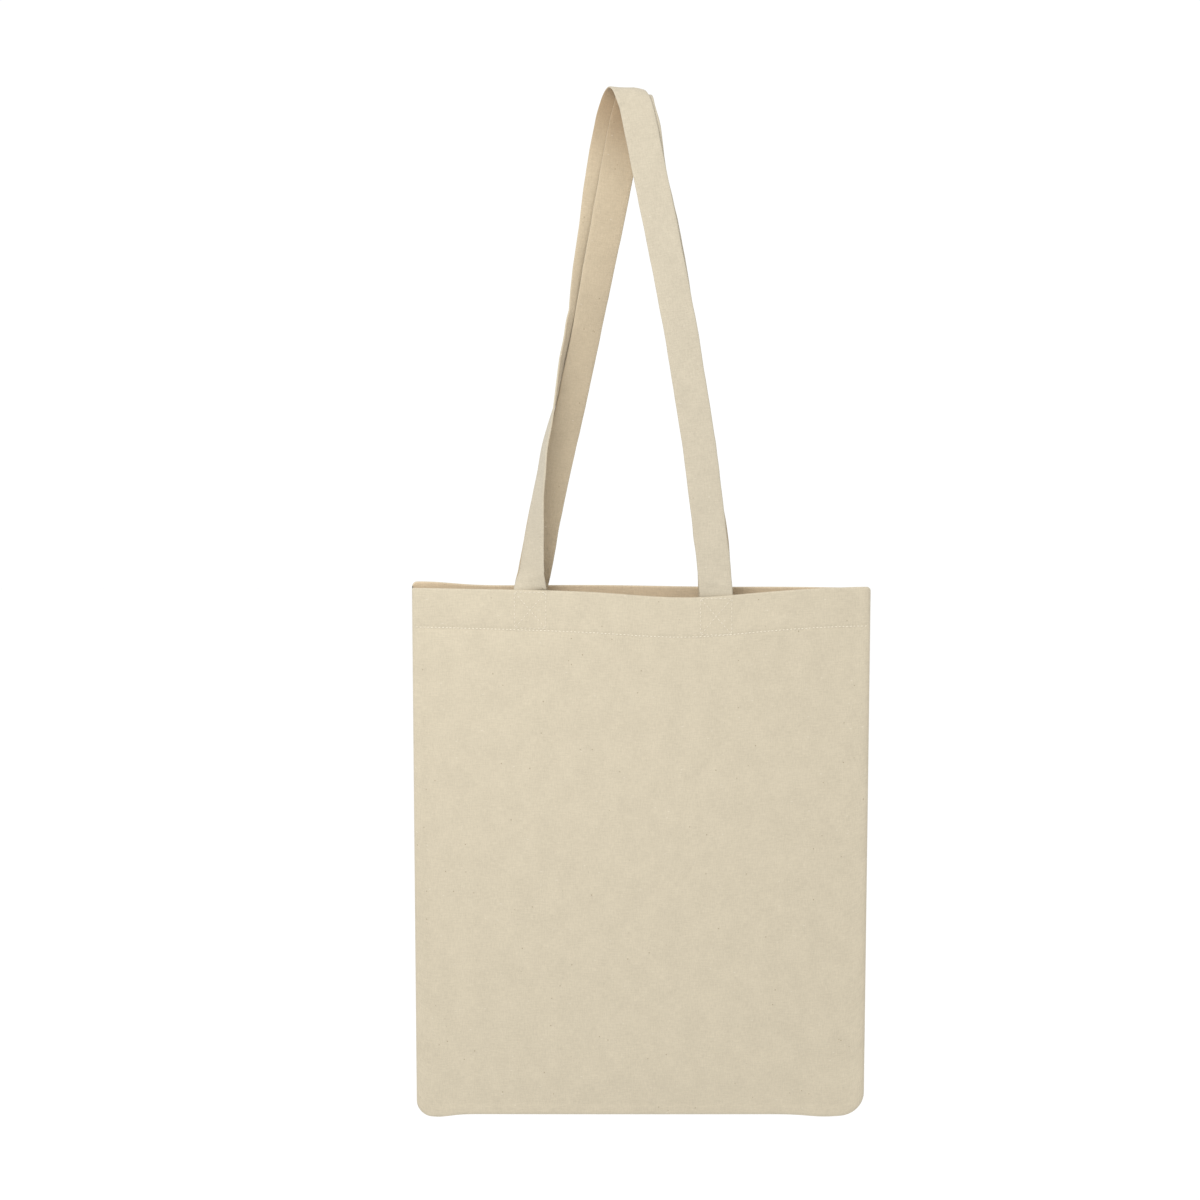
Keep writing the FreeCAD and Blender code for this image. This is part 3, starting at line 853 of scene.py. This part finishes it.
def strap_line(stations):
    """Distance along a strap, its middle line there, and the ways across it and out of it."""
    chord = distances(stations[:, :3])
    end = chord[-1]
    at = spaced(0.0, (FINE_FROM, COARSE_STEP), (FINE_TO, FINE_STEP), (end - FINE_TO, COARSE_STEP),
                (end - FINE_FROM, FINE_STEP), (end, COARSE_STEP))
    x, y, z, turn = (smooth_curve(chord, stations[:, k], at) for k in range(4))
    centre = np.stack([x, y, z], -1)
    tangent = unit(np.gradient(centre, at, axis=0))
    angle = np.radians(turn)
    across = np.stack([np.cos(angle), -np.sin(angle), np.zeros_like(angle)], -1)
    across = unit(across - tangent * np.sum(across * tangent, -1, keepdims=True))
    return at, centre, across, np.cross(across, tangent)


def strap_section(at, ring, seed):
    """Each section's outline (across, out): a little cupped, swaying and uneven, and kinked."""
    w, h = ring.T[:, None, :]
    half = STRAP_WIDTH / 2
    from_end = np.minimum(at, at[-1] - at)[:, None]
    free = ease((from_end - FREE_FROM) / FREE_FADE)
    cup = CUP * waves(at / CUP_LENGTH, at * 0, seed)[:, None] * free
    sway = SWAY * waves(at / SWAY_LENGTH, at * 0, seed + 5)[:, None] * free
    along, side = np.broadcast_arrays(at[:, None] / UNEVEN_LENGTH, np.sign(w) * 4.0)
    uneven = UNEVEN_EDGE * waves(along, side, seed + 9) * np.abs(w) / half
    past_kink = from_end - HEM_DEPTH - KINK_ABOVE_RIM - KINK_SLANT * w
    kink = KINK_DEPTH * bell(past_kink / KINK_WIDTH) * ease(1.5 + w / half)
    return w + sway + uneven, h + cup * (w / half) ** 2 + kink


def make_strap(name, stations, seed):
    """The strap and its length."""
    at, centre, across, out = strap_line(np.array(stations))
    ring = strap_ring()
    w, h = strap_section(at, ring, seed)
    points = centre[:, None, :] + across[:, None, :] * w[..., None] + out[:, None, :] * h[..., None]
    rows, columns = points.shape[:2]
    # The cloth's own place runs on round the edge, so that both faces show different yarns.
    round_section = distances(ring)
    # The inner face, and more so the inside of the top fold, is marked for the painted shade.
    in_fold = bell((at - at[-1] / 2) / FOLD_SHADE)
    inward = (ring[:, 1] < 0)[None, :] * (1 + in_fold)[:, None]
    cloth = np.stack(np.broadcast_arrays(round_section[None, :] + seed, at[:, None], inward), -1)
    faces = grid_faces(rows, columns, closed=True)
    strap = mesh_piece(name, droop(points), faces, STRAP_CANVAS, cloth=cloth,
                       caps=end_caps(rows, columns), flat_caps=True)
    return strap, float(at[-1])


# --------------------------------------------------------------------------------------------
# The seam's margin inside the bag, wrapped in overlock thread
# --------------------------------------------------------------------------------------------

MARGIN_OUTER = 0.9 * MM          # where the margin starts, in from the sewn outline
MARGIN_THICKNESS = 2 * CLOTH
MARGIN_SQUEEZE = 0.08 * MM       # how much the thread presses each face in
MARGIN_RIPPLE = 0.15 * MM
RIPPLE_LENGTH = 20 * MM
MARGIN_TOP = RIM_Z - HEM_DEPTH - 4 * MM
MARGIN_STEPS = 420
MARGIN_CORNER_POINTS = 12
SHARPEST_CORNER = 0.3 * MM
LOOP_PITCH = 2.6 * MM
LOOP_STEPS = 8
LOOP_NEAR = 3.2 * MM             # where the loops go through the margin, in from the outline
LOOP_PAST_EDGE = 0.25 * MM
LOOP_RADIUS = 0.2 * MM
LOOP_SIDES = 5


def seam_path(inset, steps):
    """
    Points (x, z) of the sewn outline, moved in by inset, evenly spaced from the left hem to the
    right, and its length.
    """
    corners = {}
    turn = np.linspace(0, math.pi / 2, MARGIN_CORNER_POINTS)
    for side in (LEFT, RIGHT):
        reach = max(CORNER_RADIUS[side] - inset, SHARPEST_CORNER)
        x = side * (HALF_WIDTH - inset - reach * (1 - np.cos(turn)))
        z = BOTTOM_Z + inset + reach * (1 - np.sin(turn))
        corners[side] = np.stack([x, z], -1)
    left_end = [[inset - HALF_WIDTH, MARGIN_TOP]]
    right_end = [[HALF_WIDTH - inset, MARGIN_TOP]]
    line = np.concatenate([left_end, corners[LEFT], corners[RIGHT][::-1], right_end])
    length = distances(line)
    at = np.linspace(0, length[-1], steps)
    return np.stack([np.interp(at, length, line[:, k]) for k in range(2)], -1), length[-1]


def make_margin():
    outer, length = seam_path(MARGIN_OUTER, MARGIN_STEPS)
    inner, _ = seam_path(MARGIN_WIDTH, MARGIN_STEPS)
    along = np.linspace(0, length, MARGIN_STEPS)
    ripple = MARGIN_RIPPLE * waves(along / RIPPLE_LENGTH, along * 0, 31.0)
    half = MARGIN_THICKNESS / 2 - MARGIN_SQUEEZE
    shares = np.linspace(0, 1, 5)
    section = [(s, half) for s in shares] + [(s, -half) for s in shares[::-1]]
    rings = []
    for share, y in section:
        flat = outer + (inner - outer) * share
        rings.append(np.stack([CENTRE_X + flat[:, 0], y + ripple * share, flat[:, 1]], -1))
    across = np.array([share for share, _ in section]) * MARGIN_WIDTH
    # The margin, inside the bag, gets the painted shade all over.
    cloth = np.stack(np.broadcast_arrays(across[None, :], along[:, None], 1.0), -1)
    faces = grid_faces(MARGIN_STEPS, len(section), closed=True)
    return mesh_piece("overlocked_margin", np.stack(rings, 1), faces, BAG_CANVAS, cloth=cloth)


def tube(name, path, radius, sides, material):
    """A thread along a path."""
    tangent = unit(np.gradient(path, axis=0))
    helper = np.where(np.abs(tangent[:, 1:2]) < 0.9, [[0.0, 1.0, 0.0]], [[1.0, 0.0, 0.0]])
    side = unit(np.cross(tangent, helper))
    points = path[:, None, :] + circle(side, np.cross(side, tangent), sides) * radius
    return mesh_piece(name, points, grid_faces(len(path), sides, closed=True), material)


def make_overlock_thread():
    """Loops over the margin's raw edge, leaning as an overlocker lays them."""
    _, length = seam_path(MARGIN_WIDTH, 2)
    points = int(length / LOOP_PITCH) * LOOP_STEPS + 1
    near, _ = seam_path(LOOP_NEAR, points)
    far, _ = seam_path(MARGIN_WIDTH + LOOP_PAST_EDGE, points)
    phase = np.arange(points) * (2 * math.pi / LOOP_STEPS)
    reach = (1 - np.cos(phase)) / 2
    flat = near + (far - near) * reach[:, None]
    side = np.where(reach > 0.99, 0.0, np.sign(np.sin(phase + 1e-6)))
    y = (MARGIN_THICKNESS / 2 + LOOP_RADIUS) * side
    path = np.stack([CENTRE_X + flat[:, 0], y, flat[:, 1]], -1)
    return tube("overlock_thread", path, LOOP_RADIUS, LOOP_SIDES, OVERLOCK)


# --------------------------------------------------------------------------------------------
# Assembly
# --------------------------------------------------------------------------------------------

ROW_END = 2 * MM                 # the hem's row ends this far from the side seams outside
ROW_END_INSIDE = 10 * MM         # and inside, where the margin is


def stands_for(piece, slot, *nodes):
    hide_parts(*nodes)


def bend_half(piece):
    """Bakes a front piece's transform into its points; nothing bends it."""
    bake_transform(piece)


def add_panels():
    """The back panel and the front panel's two halves."""
    back, = make_panel(BACK, [("back_panel_cloth", -HALF_WIDTH, HALF_WIDTH)])
    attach(back, "bag_back")
    stands_for(back, "bag_canvas", "back_panel")
    halves = make_panel(FRONT, [("front_panel_left", -HALF_WIDTH, 0.0),
                                ("front_panel_right", 0.0, HALF_WIDTH)])
    for half, side in zip(halves, (LEFT, RIGHT)):
        bend_half(half)
        stands_for(half, "bag_canvas", "front_panel")
    return back, halves


def add_back_row():
    """The row of stitches that holds the back panel's hem."""
    end, end_inside = HALF_WIDTH - ROW_END, HALF_WIDTH - ROW_END_INSIDE
    row = row_stitches(BACK, -end, end, OUTSIDE_LAYER, OUTSIDE)
    row += row_stitches(BACK, -end_inside, end_inside, HEM_INSIDE_LAYER, INSIDE)
    hem = stitch_mesh("back_hem_stitches", row, HEM_THREAD)
    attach(hem, "bag_back")
    stands_for(hem, "sewing_thread", "back_hem_stitching")
    return hem


def add_front_row(side):
    """One half of the row of stitches that holds the front panel's hem."""
    row = row_stitches(FRONT, 0.0, side * (HALF_WIDTH - ROW_END), OUTSIDE_LAYER, OUTSIDE)
    row += row_stitches(FRONT, 0.0, side * (HALF_WIDTH - ROW_END_INSIDE), HEM_INSIDE_LAYER, INSIDE)
    hem = stitch_mesh(f"front_hem_stitches_{SIDE_WORDS[side]}", row, HEM_THREAD)
    bend_half(hem)
    stands_for(hem, "sewing_thread", "front_hem_stitching")
    return hem


def add_box(face, near, side):
    """The stitched box over a strap's end, seen outside and on the strap inside."""
    lines = box_stitches(face, STRAP_X[side], OUTSIDE_LAYER, OUTSIDE)
    lines += box_stitches(face, STRAP_X[side], STRAP_INSIDE_LAYER, INSIDE)
    box = stitch_mesh(f"{near}_{SIDE_WORDS[side]}_box_stitches", lines, BOX_THREAD)
    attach(box, f"bag_{near}")
    stands_for(box, "sewing_thread", f"{near}_{SIDE_WORDS[side]}_box_stitching")
    return box


def add_handle(near, stations, seed):
    """A handle's strap and its length."""
    strap, length = make_strap(f"{near}_handle", stations, seed)
    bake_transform(strap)
    stands_for(strap, "strap_canvas",
               f"{near}_handle_strap", f"{near}_left_strap_end", f"{near}_right_strap_end")
    return strap, length


def add_margin():
    """The overlocked margin and the thread round it."""
    margin, loops = make_margin(), make_overlock_thread()
    for piece in (margin, loops):
        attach(piece, "bag_back")
        stands_for(piece, "overlocked_edge", "side_and_bottom_overlock")
    return [margin, loops]


panel_back, panel_halves = add_panels()
back_sewing = [add_back_row()]
for side in (LEFT, RIGHT):
    add_front_row(side)
    add_box(FRONT, "front", side)
    back_sewing.append(add_box(BACK, "back", side))

front_stations = (
    sewn_end(FRONT, STRAP_X[LEFT], 0) + leg(FRONT_LEFT_LEG)
    + peg_fold(FRONT_FOLD_RADIUS, *FRONT_FOLD_X) + leg(FRONT_RIGHT_LEG)
    + sewn_end(FRONT, STRAP_X[RIGHT], 180)[::-1]
)
back_stations = (
    sewn_end(BACK, STRAP_X[LEFT], 180) + leg(BACK_LEFT_LEG)
    + peg_fold(BACK_FOLD_RADIUS, *BACK_FOLD_X) + leg(BACK_RIGHT_LEG)
    + sewn_end(BACK, STRAP_X[RIGHT], 360)[::-1]
)
handles = [add_handle("front", front_stations, 1.5), add_handle("back", back_stations, 2.5)]
margin_pieces = add_margin()


# --------------------------------------------------------------------------------------------
# Floor, light and camera
# --------------------------------------------------------------------------------------------

FLOOR_Z = -1.25
FLOOR_REACH = 8.0
FLOOR_COLOUR = (0.97, 0.97, 0.97, 1)
WORLD_BRIGHTNESS = 1.04

KEY_PLACE = (-0.4, -0.95, 0.3)
KEY_TARGET = (0, 0, -0.35)
KEY_SIZE = 0.8
KEY_ENERGY = 8.6

CAMERA_TARGET = (-21.5 * MM, 0, -391.4 * MM)
CAMERA_DISTANCE = 1.8
CAMERA_DOWN = math.radians(6.5)
CAMERA_SENSOR = 36
CAMERA_LENS = 68.61


def aimed(name, data, place, target):
    """An object that looks from a place to a target."""
    holder = bpy.data.objects.new(name, data)
    holder.location = place
    holder.rotation_euler = (Vector(target) - Vector(place)).to_track_quat("-Z", "Y").to_euler()
    bpy.context.scene.collection.objects.link(holder)
    return holder


def make_floor():
    """A pale floor under the hanging bag."""
    around = ((-1, -1), (1, -1), (1, 1), (-1, 1))
    corners = [(x * FLOOR_REACH, y * FLOOR_REACH, FLOOR_Z) for x, y in around]
    nodes = Nodes("pale_floor")
    nodes.surface(Base_Color=FLOOR_COLOUR, Roughness=0.9)
    mesh_piece("floor", corners, [(0, 1, 2, 3)], nodes.material)


def make_world():
    world = bpy.data.worlds.new("white_room")
    world.use_nodes = True
    background = next(n for n in world.node_tree.nodes if n.type == "BACKGROUND")
    background.inputs["Color"].default_value = (1, 1, 1, 1)
    background.inputs["Strength"].default_value = WORLD_BRIGHTNESS
    bpy.context.scene.world = world


def make_light():
    """A large soft lamp in front of the bag, up and to the left."""
    lamp = bpy.data.lights.new("key", "AREA")
    lamp.shape = "DISK"
    lamp.size = KEY_SIZE
    lamp.energy = KEY_ENERGY
    aimed("key", lamp, KEY_PLACE, KEY_TARGET)


def make_camera():
    """Level with the middle of the handles and looking slightly down."""
    camera = bpy.data.cameras.new("camera")
    camera.sensor_width = CAMERA_SENSOR
    camera.lens = CAMERA_LENS
    back_and_up = Vector((0, -math.cos(CAMERA_DOWN), math.sin(CAMERA_DOWN)))
    place = Vector(CAMERA_TARGET) + CAMERA_DISTANCE * back_and_up
    bpy.context.scene.camera = aimed("camera", camera, place, CAMERA_TARGET)


make_floor()
make_world()
make_light()
make_camera()
bpy.context.scene.view_settings.view_transform = "Standard"
